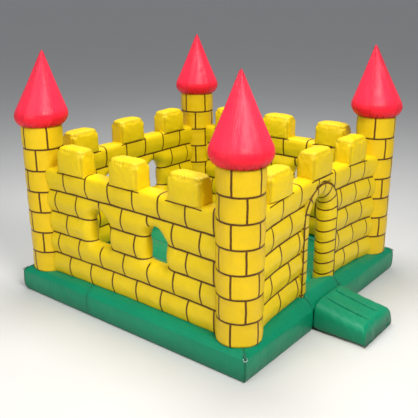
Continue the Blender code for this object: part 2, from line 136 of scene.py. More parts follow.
class Graph:
    """A material with short calls for its nodes. A value may be a number or another node's output."""

    def __init__(self, name):
        self.material = bpy.data.materials.new(name)
        self.material.use_nodes = True
        self.nodes = self.material.node_tree.nodes
        self.links = self.material.node_tree.links
        self.shader = self.nodes["Principled BSDF"]

    def out(self, value, name):
        """Drives one of the shader's sockets."""
        self.links.new(value, self.shader.inputs[name])

    def split(self, vector):
        node = self.nodes.new("ShaderNodeSeparateXYZ")
        self.links.new(vector, node.inputs[0])
        return node.outputs

    def put(self, value, socket):
        if isinstance(value, bpy.types.NodeSocket):
            self.links.new(value, socket)
        else:
            socket.default_value = value

    def math(self, operation, *values):
        node = self.nodes.new("ShaderNodeMath")
        node.operation = operation
        for value, socket in zip(values, node.inputs):
            self.put(value, socket)
        return node.outputs[0]

    def times(self, first, second):
        return self.math("MULTIPLY", first, second)

    def ramp(self, value, low, high, start=0.0, end=1.0):
        """Value eased from start to end while it goes from low to high."""
        node = self.nodes.new("ShaderNodeMapRange")
        node.interpolation_type = "SMOOTHSTEP"
        for number, socket in zip((value, low, high, start, end), node.inputs):
            self.put(number, socket)
        return node.outputs[0]

    def mix(self, share, first, second):
        node = self.nodes.new("ShaderNodeMix")
        node.data_type = "RGBA"
        self.put(share, node.inputs["Factor"])
        for colour, socket in ((first, node.inputs["A"]), (second, node.inputs["B"])):
            self.put(colour if isinstance(colour, bpy.types.NodeSocket) else (*colour, 1.0), socket)
        return node.outputs["Result"]

    def uv(self):
        """The two cloth coordinates in metres: along the seams and across them."""
        node = self.nodes.new("ShaderNodeUVMap")
        node.uv_map = "cloth"
        return self.split(node.outputs[0])[:2]

    def point(self):
        node = self.nodes.new("ShaderNodeTexCoord")
        return node.outputs["Object"]

    def vector(self, x, y, z=0.0):
        node = self.nodes.new("ShaderNodeCombineXYZ")
        for value, socket in zip((x, y, z), node.inputs):
            self.put(value, socket)
        return node.outputs[0]

    def noise(self, vector, scale, detail=2.0, roughness=0.5):
        node = self.nodes.new("ShaderNodeTexNoise")
        self.links.new(vector, node.inputs["Vector"])
        node.inputs["Scale"].default_value = scale
        node.inputs["Detail"].default_value = detail
        node.inputs["Roughness"].default_value = roughness
        return node.outputs["Fac"]

    def stretched_noise(self, u, v, along, across, detail):
        """Noise on the cloth itself, with a scale along its seams and another across them."""
        place = self.vector(self.times(u, along), self.times(v, across))
        return self.noise(place, 1.0, detail)

    def attribute(self, name):
        node = self.nodes.new("ShaderNodeAttribute")
        node.attribute_name = name
        return node.outputs["Fac"]

    def bump(self, height, distance, onto=None):
        node = self.nodes.new("ShaderNodeBump")
        node.inputs["Distance"].default_value = distance
        self.links.new(height, node.inputs["Height"])
        if onto is not None:
            self.links.new(onto, node.inputs["Normal"])
        return node.outputs[0]

    def near_line(self, value, spacing, width=LINE_WIDTH, soft=0.0025):
        """1 within half a width of each whole multiple of spacing, and 0 elsewhere."""
        share = self.math("DIVIDE", value, spacing)
        folded = self.math("PINGPONG", share, 0.5)
        away = self.times(folded, spacing)
        return self.ramp(away, width / 2 - soft, width / 2 + soft, 1.0, 0.0)


def coated_cloth(name, colour, print_lines=None, roughness=0.36, foot_shade=None, ground_shaded=False):
    """PVC-coated cloth: a woven base under a smooth skin, puckered along its seams, with painted shade in them.

    print_lines draws ink. The colour given for a gathered belly is painted shade that deepens towards the belly's
    foot, where it is gathered into a seam, with painted shade in the folds of its gathers. Cloth on the ground gets
    painted shade that darkens it towards the ground, and deeper painted shade in its seams.
    """
    g = Graph(name)
    u, v = g.uv()
    point = g.point()
    patches = g.noise(point, 0.9, 3.0, 0.6)
    fine = g.noise(point, 14.0, 4.0, 0.6)
    seam = g.attribute("seam")
    paler, deeper = [min(1.0, c * 1.05) for c in colour], [c * 0.93 for c in colour]
    base = g.mix(g.ramp(patches, 0.3, 0.7), deeper, paler)
    base = g.mix(g.ramp(fine, 0.45, 0.75, 0.0, 0.16), base, [c * 0.80 for c in colour])
    # Painted shade in the seams' grooves, deeper on cloth that lies on the ground
    groove = g.ramp(seam, 0.002, 0.035, 0.72 if ground_shaded else 0.42, 0.0)
    base = g.mix(groove, base, [c * 0.50 for c in colour])
    # Painted shade: the belly darkens towards its foot, and dark streaks paint shade into the folds of the gathers
    if foot_shade:
        base = g.mix(g.ramp(v, 0.12, 0.42, 0.85, 0.0), base, foot_shade)
        streaks = g.stretched_noise(u, v, 38.0, 4.0, 2.0)
        near_foot = g.ramp(v, 0.04, 0.155, 1.0, 0.0)
        gather_shade = g.times(g.ramp(streaks, 0.46, 0.62, 0.0, 0.80), near_foot)
        base = g.mix(gather_shade, base, [c * 0.35 for c in foot_shade])
    # Painted shade: the cloth darkens towards the ground, away from the light above
    if ground_shaded:
        height = g.math("ADD", g.split(point)[2], g.times(g.noise(point, 6.0, 4.0), 0.12))
        base = g.mix(g.ramp(height, 0.03, 0.36, 0.50, 0.0), base, [c * 0.30 + 0.002 for c in colour])
    if print_lines:
        ink = print_lines(g, u, v)
        worn = g.ramp(g.noise(point, 60.0, 3.0, 0.7), 0.35, 0.75, 1.0, 0.82)
        base = g.mix(g.times(ink, worn), base, BROWN)
    g.out(base, "Base Color")

    scuffs = g.noise(point, 5.0, 5.0, 0.65)
    g.out(g.ramp(scuffs, 0.3, 0.75, roughness - 0.06, roughness + 0.14), "Roughness")
    g.shader.inputs["Specular IOR Level"].default_value = 0.24
    g.shader.inputs["Coat Weight"].default_value = 0.05
    g.shader.inputs["Coat Roughness"].default_value = 0.28

    near_seam = g.ramp(seam, 0.0, 0.11)
    pull = g.math("SUBTRACT", 1.0, near_seam)
    folds = g.stretched_noise(u, v, 30.0, 5.0, 2.0)
    creases = g.stretched_noise(u, v, 70.0, 12.0, 1.0)
    puckers = g.times(g.math("ADD", folds, g.times(creases, 0.5)), pull)
    swell = g.noise(point, 3.2, 2.0)
    ripple = g.stretched_noise(u, v, 20.0, 3.0, 1.5)
    threads = [g.math("SINE", g.times(w, 1570.0)) for w in (u, v)]
    weave = g.times(*threads)
    stitched = g.times(g.near_line(u, 0.012, 0.008, 0.001), g.ramp(seam, 0.009, 0.012))
    stitched = g.times(stitched, g.ramp(seam, 0.013, 0.016, 1.0, 0.0))
    normal = g.bump(swell, 0.018)
    normal = g.bump(ripple, 0.0045, onto=normal)
    normal = g.bump(puckers, 0.016, onto=normal)
    normal = g.bump(stitched, 0.0012, onto=normal)
    normal = g.bump(weave, 0.00012, onto=normal)
    g.out(normal, "Normal")
    return g.material


def wobble(g, u, v):
    """The print's lines are a little uneven, as ink on stretched cloth is."""
    soft = g.stretched_noise(u, v, 4.0, 4.0, 1.0)
    edge = g.stretched_noise(u, v, 60.0, 60.0, 1.0)
    shift = g.math("ADD", g.times(soft, 0.016), g.times(edge, 0.004))
    shift = g.math("SUBTRACT", shift, 0.010)
    return g.math("ADD", u, shift), g.math("ADD", v, shift)


def bricks(row_height, length, rows, offset=0.0, merlons=None):
    """Print of running-bond bricks, with no line at its foot and none above its last row."""

    def lines(g, u, v):
        bent_u, bent_v = wobble(g, u, v)
        row = g.math("MINIMUM", g.math("FLOOR", g.math("DIVIDE", bent_v, row_height)), rows - 1.0)
        stagger = g.times(g.math("PINGPONG", row, 1.0), length / 2)
        upright = g.near_line(g.math("ADD", g.math("SUBTRACT", bent_u, offset), stagger), length)
        upright = g.times(upright, g.attribute("upright_ink"))
        level = g.near_line(bent_v, row_height, LINE_WIDTH * 0.9)
        below = g.ramp(bent_v, (rows - 0.5) * row_height, (rows - 0.4) * row_height, 1.0, 0.0)
        above = g.ramp(bent_v, 0.3 * row_height, 0.4 * row_height)
        level = g.times(g.times(level, below), above)
        ink = g.math("MAXIMUM", upright, level)
        if merlons is not None:
            crest = g.math("SUBTRACT", bent_v, (rows - 0.5) * row_height + 0.12)
            under = g.ramp(g.math("ABSOLUTE", crest), LINE_WIDTH / 2 - 0.003, LINE_WIDTH / 2 + 0.003, 1.0, 0.0)
            share = g.math("DIVIDE", g.math("SUBTRACT", u, merlons), MERLON_SPACING)
            along = g.times(g.math("PINGPONG", share, 0.5), MERLON_SPACING)
            under = g.times(under, g.ramp(along, 0.345, 0.35, 1.0, 0.0))
            ink = g.math("MAXIMUM", ink, under)
        return ink

    return lines


def arch_courses(section_length):
    """Print of the doorway's lining: courses across the tube and an outline down both of its edges."""

    def lines(g, u, v):
        bent_u, bent_v = wobble(g, u, v)
        course = g.near_line(bent_v, ROW_HEIGHT / 2, LINE_WIDTH * 0.85)
        outline = g.near_line(g.math("SUBTRACT", bent_u, 0.012), section_length - 0.024)
        return g.math("MAXIMUM", course, outline)

    return lines


def webbing(name, colour):
    g = Graph(name)
    point = g.point()
    wave = g.nodes.new("ShaderNodeTexWave")
    wave.inputs["Scale"].default_value = 260.0
    wave.inputs["Distortion"].default_value = 1.2
    g.links.new(point, wave.inputs["Vector"])
    ribs = wave.outputs["Fac"]
    fuzz = g.noise(point, 900.0, 2.0)
    base = g.mix(ribs, [c * 0.6 for c in colour], colour)
    base = g.mix(g.ramp(fuzz, 0.5, 0.8, 0.0, 0.4), base, [min(1.0, c * 1.6 + 0.01) for c in colour])
    g.out(base, "Base Color")
    g.out(g.ramp(fuzz, 0.2, 0.8, 0.6, 0.85), "Roughness")
    g.out(g.bump(ribs, 0.0006), "Normal")
    return g.material


def plated_steel(name):
    g = Graph(name)
    point = g.point()
    grime = g.noise(point, 90.0, 4.0, 0.7)
    scratches = g.noise(point, 700.0, 3.0, 0.7)
    g.out(g.mix(g.ramp(grime, 0.4, 0.75), (0.30, 0.31, 0.32), (0.16, 0.15, 0.14)), "Base Color")
    g.shader.inputs["Metallic"].default_value = 1.0
    g.out(g.ramp(scratches, 0.3, 0.8, 0.34, 0.58), "Roughness")
    g.out(g.bump(scratches, 0.0002), "Normal")
    return g.material


def zip_tape(name):
    """Woven tape with a row of moulded coils down its middle."""
    g = Graph(name)
    x, _, z = g.split(g.point())
    middle = g.math("ABSOLUTE", g.math("SUBTRACT", z, ZIP_HEIGHT))
    coil = g.times(g.ramp(middle, 0.0055, 0.0065, 1.0, 0.0), g.near_line(x, 0.004, 0.0022, 0.0004))
    weave = g.noise(g.point(), 1200.0, 2.0)
    g.out(g.mix(coil, (0.012, 0.012, 0.013), (0.055, 0.055, 0.060)), "Base Color")
    g.out(g.ramp(coil, 0.0, 1.0, 0.75, 0.35), "Roughness")
    normal = g.bump(weave, 0.0003)
    g.out(g.bump(coil, 0.0015, onto=normal), "Normal")
    return g.material


# ---------------------------------------------------------------- mesh helpers


def grid_faces(rows, columns, ring=False):
    """Quads over a grid of points stored row by row. A ring closes each row on itself."""
    across = np.arange(columns if ring else columns - 1)
    r, c = np.meshgrid(np.arange(rows - 1), across, indexing="ij")
    n = (c + 1) % columns
    quads = np.stack([r * columns + c, r * columns + n, (r + 1) * columns + n, (r + 1) * columns + c], -1)
    return quads.reshape(-1, 4).tolist()


def end_faces(points, count):
    """The two faces that close a tube of rings of count points."""
    return [list(range(count)), list(range(len(points) - count, len(points)))]


def make_piece(node, points, faces, look, uv, seam, period=0.0, upright_ink=1.0):
    """A cloth piece that replaces the given node.

    uv, seam (distance from the nearest seam) and upright_ink (share of the print's upright lines) are per
    point. period is where u starts again on a ring.
    """
    name = f"cloth_{node}"
    mesh = bpy.data.meshes.new(name)
    mesh.from_pydata(np.asarray(points, float).tolist(), [], faces)
    edit = bmesh.new()
    edit.from_mesh(mesh)
    bmesh.ops.recalc_face_normals(edit, faces=edit.faces)
    edit.to_mesh(mesh)
    edit.free()
    mesh.shade_smooth()
    layer = mesh.uv_layers.new(name="cloth")
    corners = np.empty(len(mesh.loops), np.int32)
    mesh.loops.foreach_get("vertex_index", corners)
    flat = np.asarray(uv, float)[corners]
    if period:
        starts = np.array([p.loop_start for p in mesh.polygons])
        highest = np.maximum.reduceat(flat[:, 0], starts)
        sizes = np.array([p.loop_total for p in mesh.polygons])
        high = np.repeat(highest, sizes)
        flat[:, 0] += np.where(high - flat[:, 0] > period / 2, period, 0.0)
    layer.data.foreach_set("uv", flat.astype(np.float32).ravel())
    for title, values in (("seam", seam), ("upright_ink", upright_ink)):
        field = mesh.attributes.new(title, "FLOAT", "POINT")
        field.data.foreach_set("value", np.broadcast_to(np.ravel(values), len(points)).astype(np.float32))
    mesh.materials.append(look)
    obj = bpy.data.objects.new(name, mesh)
    bpy.context.scene.collection.objects.link(obj)
    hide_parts(node)
    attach(obj, "castle")
    return obj


def uneven(points, size, seed):
    """Soft repeatable unevenness between about -1 and 1 at each point."""
    numbers = np.random.default_rng(seed)
    total = np.zeros(len(points))
    for step in range(6):
        direction = numbers.normal(size=3)
        direction *= (0.7 + 0.35 * step) / (size * np.linalg.norm(direction))
        total += np.sin(np.asarray(points) @ direction * math.tau + numbers.uniform(0, math.tau))
    return total / 3.0


def ruffle(obj, amount, size, seed):
    """Moves a piece's surface in and out a little along its own normals."""
    mesh = obj.data
    count = len(mesh.vertices)
    points = np.empty(count * 3, np.float32)
    normals = np.empty(count * 3, np.float32)
    mesh.vertices.foreach_get("co", points)
    mesh.vertex_normals.foreach_get("vector", normals)
    points, normals = points.reshape(-1, 3), normals.reshape(-1, 3)
    points = points + normals * (uneven(points, size, seed) * amount)[:, None]
    points[:, 2] = np.maximum(points[:, 2], 0.0)
    mesh.vertices.foreach_set("co", points.astype(np.float32).ravel())
    mesh.update()


def smooth_line(points, per_span):
    """A smooth curve through the given points (Catmull-Rom)."""
    p = np.asarray(points, float)
    p = np.vstack([2 * p[0] - p[1], p, 2 * p[-1] - p[-2]])
    t = np.linspace(0, 1, per_span, endpoint=False)[:, None]
    spans = []
    for i in range(1, len(p) - 2):
        a, b, c, d = p[i - 1], p[i], p[i + 1], p[i + 2]
        spans.append(0.5 * (2 * b + (c - a) * t + (2 * a - 5 * b + 4 * c - d) * t**2 + (3 * b - a - 3 * c + d) * t**3))
    return np.vstack([*spans, p[-2:-1]])


def arc_length(line):
    steps = np.linalg.norm(np.diff(line, axis=0), axis=1)
    return np.concatenate([[0.0], np.cumsum(steps)])


def to_world(side, along, out, up):
    """Points from along a side, the distance out from the castle's centre, and the height."""
    ox, oy = OUTWARD[side]
    x = along * abs(oy) + out * ox
    y = along * abs(ox) + out * oy
    return np.stack([x, y, up], -1)


# ---------------------------------------------------------------- towers and roofs


def make_tower(label, sx, sy, look):
    low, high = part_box(f"tower_{label}")
    course = (high.z - low.z) / TOWER_COURSES
    brick = math.tau * TOWER_RADIUS / TOWER_BRICKS
    levels = np.linspace(0, TOWER_COURSES, TOWER_COURSES * 16 + 1)
    radius = TOWER_RADIUS - TOWER_PINCH * (1 - np.abs(np.sin(math.pi * levels)) ** 0.55)
    turns = np.linspace(0, math.tau, 120, endpoint=False)
    x = sx * TOWER_AXIS + radius[:, None] * np.cos(turns)
    y = sy * TOWER_AXIS + radius[:, None] * np.sin(turns)
    z = np.broadcast_to((low.z + levels * course)[:, None], x.shape)
    points = np.stack([x, y, z], -1).reshape(-1, 3)
    faces = grid_faces(len(levels), len(turns), ring=True)
    faces += end_faces(points, len(turns))
    angle = np.degrees(turns) - TOWER_PHASE[label]
    u = np.broadcast_to(angle / (360 / TOWER_BRICKS) * brick, x.shape)
    v = np.broadcast_to((levels * course)[:, None], u.shape)
    seam = np.broadcast_to((np.abs(levels - np.round(levels)) * course)[:, None], u.shape)
    uv = np.stack([u.ravel(), v.ravel()], -1)
    around = brick * TOWER_BRICKS
    tower = make_piece(f"tower_{label}", points, faces, look, uv, seam, period=around)
    ruffle(tower, 0.0035, 0.5, len(label) + sx)
    return tower


def make_roof(label, sx, sy, look):
    """A cone over a full round belly that is gathered into the seam at the tower's top."""
    low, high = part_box(f"roof_{label}")
    foot = low.z
    line = np.vstack(
        [
            smooth_line(ROOF_BELLY, 7),
            smooth_line([ROOF_BELLY[-1], ROOF_SHOULDER, ROOF_SLOPE[0]], 10)[1:],
            smooth_line([ROOF_SLOPE[0], ROOF_MIDDLE, ROOF_SLOPE[1]], 10)[1:],
            ROOF_SLOPE[2:],
        ]
    )
    length = arc_length(line)
    turns = np.linspace(0, math.tau, 288, endpoint=False)
    numbers = np.random.default_rng(11 + sx + 3 * sy)
    gather = np.zeros(len(turns))
    for count in ROOF_GATHERS:
        gather += np.sin(turns * count + numbers.uniform(0, math.tau)) / 2.4
    pinch = np.exp(-((length / 0.085) ** 1.5)) + 0.10 * np.exp(-(((length - 0.19) / 0.10) ** 2))
    radius = line[:, :1] - 0.0075 * pinch[:, None] * (1 + gather[None, :])
    gores = np.abs(((np.degrees(turns) + 15) % 60) - 30)
    rise = line[:, 1]
    lean = ROOF_LEAN * rise / (high.z - low.z)
    x = sx * (TOWER_AXIS - lean)[:, None] + radius * np.cos(turns)
    y = sy * (TOWER_AXIS - lean)[:, None] + radius * np.sin(turns)
    z = np.broadcast_to((foot + rise)[:, None], x.shape)
    points = np.stack([x, y, z], -1).reshape(-1, 3)
    faces = grid_faces(len(line), len(turns), ring=True)
    faces += end_faces(points, len(turns))
    u = np.broadcast_to(turns * ROOF_GORE_ARC, x.shape)
    v = np.broadcast_to(length[:, None], x.shape)
    across = np.radians(gores)[None, :] * line[:, :1]
    seam = np.minimum(v, across + 0.012)
    uv = np.stack([u.ravel(), v.ravel()], -1)
    around = math.tau * ROOF_GORE_ARC
    roof = make_piece(f"roof_{label}", points, faces, look, uv, seam, period=around)
    return roof


# ---------------------------------------------------------------- walls


def wall_profile():
    """Heights, half thicknesses and cloth coordinates up a wall from its foot to its crest."""
    rows = np.linspace(0, WALL_ROWS - 0.5, int((WALL_ROWS - 0.5) * 20) + 1)
    heights = WALL_FOOT + rows * ROW_HEIGHT
    halves = WALL_HALF_SEAM + (WALL_HALF_FULL - WALL_HALF_SEAM) * np.abs(np.sin(math.pi * rows)) ** 0.8
    cloth = rows * ROW_HEIGHT
    turn = np.linspace(0, math.pi / 2, 15)[1:]
    crest_z = heights[-1] + (WALL_TOP - heights[-1]) * np.sin(turn) ** 0.5
    crest_half = WALL_HALF_FULL * np.cos(turn) ** 0.5
    crest_half[-1] = 0.0
    crest_cloth = cloth[-1] + turn / (math.pi / 2) * CREST_ARC
    return (
        np.concatenate([heights, crest_z]),
        np.concatenate([halves, crest_half]),
        np.concatenate([cloth, crest_cloth]),
    )


def opening_distance(along, up, centre, half, sill, spring, corner=0.05):
    """Distance of a point on a wall from the edge of a round-topped opening, negative inside it."""
    side = np.abs(along - centre)
    qx = side - (half - corner)
    qz = (sill + corner) - up
    outside = np.hypot(np.maximum(qx, 0), np.maximum(qz, 0))
    lower = outside + np.minimum(np.maximum(qx, qz), 0) - corner
    upper = np.hypot(along - centre, up - spring) - half
    return np.where(up > spring, upper, lower)


def bow(side, along):
    """How far a wall's rows ride up over the swollen middle of the base below them."""
    return BOW_RISE[side] * np.clip(1 - (np.asarray(along) / BOW_HALF_SPAN) ** 2, 0, 1)


def plane(side, along):
    """Distance of a wall's middle from the castle's centre: the doorway's wall is drawn in a little."""
    drawn_in = FRONT_DRAWN_IN if side == "front" else 0.0
    return WALL_PLANE - drawn_in * np.clip(1 - (np.asarray(along) / BOW_HALF_SPAN) ** 4, 0, 1)


def make_wall(side, openings, lip, look):
    """A wall of stacked tubes. Each opening's edge is a half-round lip where the two faces meet."""
    heights, halves, cloth = wall_profile()
    fractions = np.linspace(-1, 1, 181)
    up = np.broadcast_to(heights[:, None], (len(heights), len(fractions))).copy()
    along = np.broadcast_to(fractions * WALL_REACH, up.shape).copy()
    half = np.broadcast_to(halves[:, None], up.shape).copy()
    v = np.broadcast_to(cloth[:, None], up.shape).copy()

    def nearest(a, z):
        return np.min([opening_distance(a, z, *o) for o in openings], axis=0)

    def slopes(step=0.002):
        """How fast that distance grows along the wall and up it."""
        ga = (nearest(along + step, up) - nearest(along - step, up)) / (2 * step)
        gz = (nearest(along, up + step) - nearest(along, up - step)) / (2 * step)
        return ga, gz

    away = nearest(along, up)
    keep = (away[:-1, :-1] + away[1:, :-1] + away[:-1, 1:] + away[1:, 1:]) > 0
    used = np.zeros(up.shape, bool)
    dropped = np.zeros(up.shape, bool)
    for di in (0, 1):
        for dj in (0, 1):
            window = (slice(di, di + keep.shape[0]), slice(dj, dj + keep.shape[1]))
            used[window] |= keep
            dropped[window] |= ~keep
    rim = used & dropped
    for _ in range(4):
        ga, gz = slopes()
        move = np.where(rim, nearest(along, up), 0.0)
        along -= move * ga
        up -= move * gz
    away = np.where(rim, 0.0, np.maximum(nearest(along, up), 0.0))
    ga, gz = slopes()
    print_along, print_up = along.copy(), up.copy()
    turn = np.clip(away / lip, 0, 1) * math.pi / 2
    pulled = np.where(away < lip, away - lip * (1 - np.cos(turn)), 0.0)
    crest = np.clip((heights[-1] - up) / 0.12, 0, 1)
    along -= pulled * ga * crest
    up -= pulled * gz * crest
    half = half * np.where(away < lip, np.sin(turn), 1.0)
    near_rim = np.clip(1 - away / 0.06, 0, 1) * np.clip(-gz, 0, 1)
    v = np.where(print_up < heights[-20], print_up - WALL_FOOT, v)
    v = v - 0.035 * near_rim * (print_up > WALL_FOOT + 0.5) * (gz < -0.5)

    def end_reach(across):
        return TOWER_AXIS - np.sqrt((TOWER_RADIUS - 0.004) ** 2 - (WALL_PLANE - TOWER_AXIS + across) ** 2)

    sheets = []
    stretch = np.clip((np.abs(fractions) - 0.8) / 0.2, 0, 1)
    for sign in (1, -1):
        shift = (WALL_REACH - end_reach(sign * half)) * stretch * np.sign(fractions)
        sheets.append(to_world(side, along - shift, plane(side, along) + sign * half, up + bow(side, along)))
    count = up.size
    points = np.concatenate([sheet.reshape(-1, 3) for sheet in sheets])
    shared = (half <= 1e-6).ravel()
    index = np.arange(count).reshape(up.shape)
    back = np.where(shared, np.arange(count), np.arange(count) + count).reshape(up.shape)
    faces = []
    rows, columns = np.nonzero(keep)
    for i, j in zip(rows, columns):
        faces.append([index[i, j], index[i, j + 1], index[i + 1, j + 1], index[i + 1, j]])
        faces.append([back[i, j], back[i + 1, j], back[i + 1, j + 1], back[i, j + 1]])
    for j in np.nonzero(keep[0])[0]:
        faces.append([index[0, j], back[0, j], back[0, j + 1], index[0, j + 1]])
    for j in (0, up.shape[1] - 1):
        for i in range(up.shape[0] - 1):
            faces.append([index[i, j], index[i + 1, j], back[i + 1, j], back[i, j]])
    faces = [[int(k) for k in dict.fromkeys(face)] for face in faces]
    faces = [face for face in faces if len(face) > 2]
    used_points = sorted({k for face in faces for k in face})
    renumber = {k: n for n, k in enumerate(used_points)}
    faces = [[renumber[k] for k in face] for face in faces]
    seam = np.abs(v / ROW_HEIGHT - np.round(v / ROW_HEIGHT)) * ROW_HEIGHT
    seam = np.where(v > (WALL_ROWS - 0.5) * ROW_HEIGHT, 0.2, seam)
    uv = np.stack([print_along.ravel(), v.ravel()], -1)
    uv, seam = np.concatenate([uv, uv])[used_points], np.concatenate([seam.ravel()] * 2)[used_points]
    ink = np.clip((away - 0.05) / 0.02, 0, 1) if lip > DOORWAY_LIP else np.ones(up.shape)
    ink = np.concatenate([ink.ravel()] * 2)[used_points]
    points = points[used_points]
    wall = make_piece(f"wall_{side}", points, faces, look, uv, seam, upright_ink=ink)
    ruffle(wall, 0.004, 0.45, 20 + SIDES.index(side))
    return wall


def make_door_arch(look_for):
    """The doorway's padded lining: a half-round tube up one side, over the top and down the other."""
    turn = np.linspace(0, math.pi, 33)
    outer = ARCH_OUTER + 0.004
    section = np.stack([outer - (outer - ARCH_CLEAR) * np.sin(turn) ** 0.62, WALL_HALF_FULL * np.cos(turn)], -1)
    section[0, 0] = section[-1, 0] = outer
    around = arc_length(section)
    foot = BASE_TOP - 0.02
    straight = np.linspace(foot - ARCH_SPRING, 0, 60, endpoint=False)
    arc = np.linspace(0, math.pi, 91)
    stations = [(0.0, drop) for drop in straight] + [(a, 0.0) for a in arc]
    stations += [(math.pi, drop) for drop in straight[::-1]]
    middle = (ARCH_OUTER + ARCH_CLEAR) / 2
    path = [0.0]
    for (a, da), (b, db) in zip(stations, stations[1:]):
        path.append(path[-1] + abs(db - da) + abs(b - a) * middle)
    path = np.array(path) - (WALL_FOOT - foot)
    rings = []
    for (angle, drop), v in zip(stations, path):
        course = v / (ROW_HEIGHT / 2)
        dent = 0.010 * np.exp(-((np.abs(course - round(course)) * 9) ** 2))
        radius = section[:, 0] + dent * np.sin(turn)
        x = DOOR_X + radius * math.cos(angle)
        z = ARCH_SPRING + drop + radius * math.sin(angle)
        rings.append(np.stack([x, -plane("front", DOOR_X) - section[:, 1], z], -1))
    points = np.concatenate(rings)
    faces = grid_faces(len(rings), len(section), ring=True)
    faces += end_faces(points, len(section))
    sag = 0.030 * np.sin(turn) ** 2
    downwards = np.where(np.array([a for a, _ in stations]) < 1.0, 1.0, -1.0)
    v = path[:, None] + downwards[:, None] * sag[None, :]
    u = np.broadcast_to(around, v.shape)
    uv = np.stack([u.ravel(), v.ravel()], -1)
    seam = np.minimum(np.minimum(u, around[-1] - u), 0.2) + 0.01
    look = look_for(around[-1])
    arch = make_piece("door_arch", points, faces, look, uv, seam)
    ruffle(arch, 0.003, 0.3, 31)
    return arch


# ---------------------------------------------------------------- merlons


def block_mesh(size, cell):
    """A closed box of small quads, for the cloth solver."""
    edit = bmesh.new()
    counts = [max(2, round(length / cell)) for length in size]
    corners = {}

    def corner(i, j, k):
        key = (i, j, k)
        if key not in corners:
            x = (i / counts[0] - 0.5) * size[0]
            y = (j / counts[1] - 0.5) * size[1]
            corners[key] = edit.verts.new((x, y, k / counts[2] * size[2]))
        return corners[key]

    for axis in range(3):
        first, second = [a for a in range(3) if a != axis]
        for level in (0, counts[axis]):
            for a in range(counts[first]):
                for b in range(counts[second]):
                    quad = []
                    for da, db in ((0, 0), (1, 0), (1, 1), (0, 1)):
                        key = [0, 0, 0]
                        key[axis], key[first], key[second] = level, a + da, b + db
                        quad.append(corner(*key))
                    edit.faces.new(quad)
    bmesh.ops.recalc_face_normals(edit, faces=edit.faces)
    mesh = bpy.data.meshes.new("block")
    edit.to_mesh(mesh)
    edit.free()
    return mesh


def inflate(mesh, held_below, pressure, cap, frames=20):
    """Blows a closed mesh up as cloth and returns its points and quads."""
    start = np.array([v.co for v in mesh.vertices])
    quads = [list(p.vertices) for p in mesh.polygons]
    obj = bpy.data.objects.new("inflating", mesh)
    bpy.context.scene.collection.objects.link(obj)
    held = obj.vertex_groups.new(name="held")
    held.add([int(i) for i in np.nonzero(start[:, 2] < held_below)[0]], 1.0, "REPLACE")
    cloth = obj.modifiers.new("cloth", "CLOTH")
    settings = cloth.settings
    settings.quality = 8
    settings.mass = 0.2
    settings.tension_stiffness = 60
    settings.compression_stiffness = 60
    settings.shear_stiffness = 20
    settings.bending_stiffness = 4.0
    settings.use_pressure = True
    settings.uniform_pressure_force = pressure
    settings.vertex_group_mass = "held"
    settings.effector_weights.gravity = 0.0
    cloth.collision_settings.use_collision = False
    scene = bpy.context.scene
    for number in range(1, frames + 1):
        scene.frame_set(number)
    evaluated = obj.evaluated_get(bpy.context.evaluated_depsgraph_get())
    points = np.array([v.co for v in evaluated.data.vertices])
    scene.frame_set(1)
    move = points - start
    length = np.linalg.norm(move, axis=1, keepdims=True)
    points = start + move * np.minimum(1.0, cap / np.maximum(length, 1e-9))
    bpy.data.objects.remove(obj, do_unlink=True)
    return relaxed(points, quads, 2), quads


def relaxed(points, quads, times):
    """Evens out sharp edges and small crumples by drawing each point towards its neighbours."""
    ends = np.array([(quad[k], quad[(k + 1) % 4]) for quad in quads for k in range(4)])
    count = np.bincount(ends[:, 0], minlength=len(points)) + np.bincount(ends[:, 1], minlength=len(points))
    for step in range(times):
        total = np.zeros_like(points)
        np.add.at(total, ends[:, 0], points[ends[:, 1]])
        np.add.at(total, ends[:, 1], points[ends[:, 0]])
        towards = total / count[:, None] - points
        points = points + towards * (0.55 if step % 2 == 0 else -0.50)
    return points


